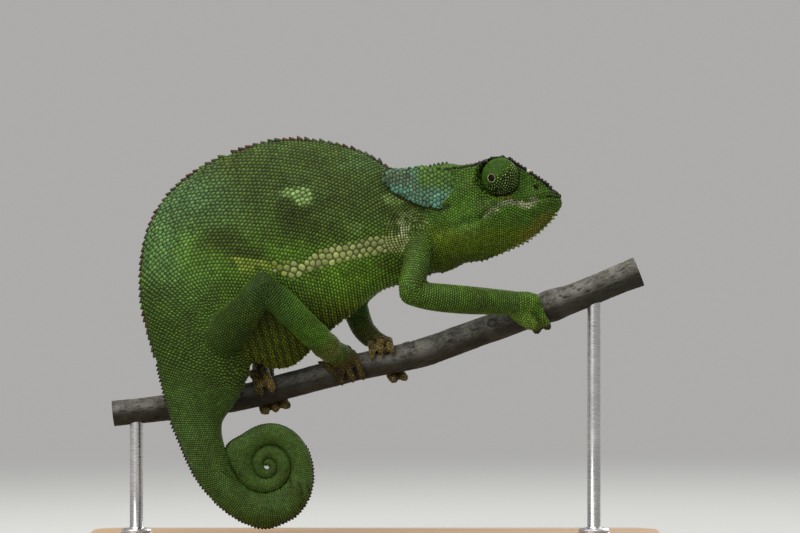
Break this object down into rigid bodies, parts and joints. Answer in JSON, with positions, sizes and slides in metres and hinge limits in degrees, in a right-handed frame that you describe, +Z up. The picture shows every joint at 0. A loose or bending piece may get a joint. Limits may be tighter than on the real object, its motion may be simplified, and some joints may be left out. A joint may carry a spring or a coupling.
{
  "type": "flap-necked chameleon display model",
  "caption": "Life-size still model of a flap-necked chameleon gripping a short cut length of branch, its tail rolled in a coil, held on a flat wooden base by rods.",
  "frame": {"origin": "bottom centre of the stand's base", "axes": "+Z up, +X the way the head looks along the base's long side, the animal's right side faces -Y"},
  "size_m": [0.176, 0.09, 0.1286],
  "materials": {
    "skin": "matte scales, mid green with a pale side stripe",
    "feet": "matte scales, olive brown",
    "eye": "wet gloss, dark pupil with a pale ring",
    "bark": "rough grey-brown bark",
    "base_wood": "satin planed wood",
    "rod_steel": "brushed"
  },
  "bodies": {
    "root": {"head": "skin", "lower_jaw": "skin", "neck": "skin", "torso": "skin", "eyelid_turret_right": "skin", "eyelid_turret_left": "skin", "eye_right": "eye", "eye_left": "eye", "occipital_flap_right": "skin", "occipital_flap_left": "skin", "tail_base": "skin", "tail_bend": "skin", "tail_coil_1": "skin", "tail_coil_2": "skin", "tail_coil_3": "skin", "tail_coil_4": "skin", "tail_coil_5": "skin", "right_foreleg_upper": "skin", "right_foreleg_lower": "skin", "right_foreleg_foot": "feet", "right_foreleg_outer_toes": "feet", "right_foreleg_inner_toes": "feet", "right_hindleg_upper": "skin", "right_hindleg_lower": "skin", "right_hindleg_foot": "feet", "right_hindleg_outer_toes": "feet", "right_hindleg_inner_toes": "feet", "left_foreleg_upper": "skin", "left_foreleg_lower": "skin", "left_foreleg_foot": "feet", "left_foreleg_outer_toes": "feet", "left_foreleg_inner_toes": "feet", "left_hindleg_upper": "skin", "left_hindleg_lower": "skin", "left_hindleg_foot": "feet", "left_hindleg_outer_toes": "feet", "left_hindleg_inner_toes": "feet", "perch_branch": "bark", "stand_base": "base_wood", "stand_rod_rear": "rod_steel", "stand_rod_front": "rod_steel"}
  },
  "joints": []
}
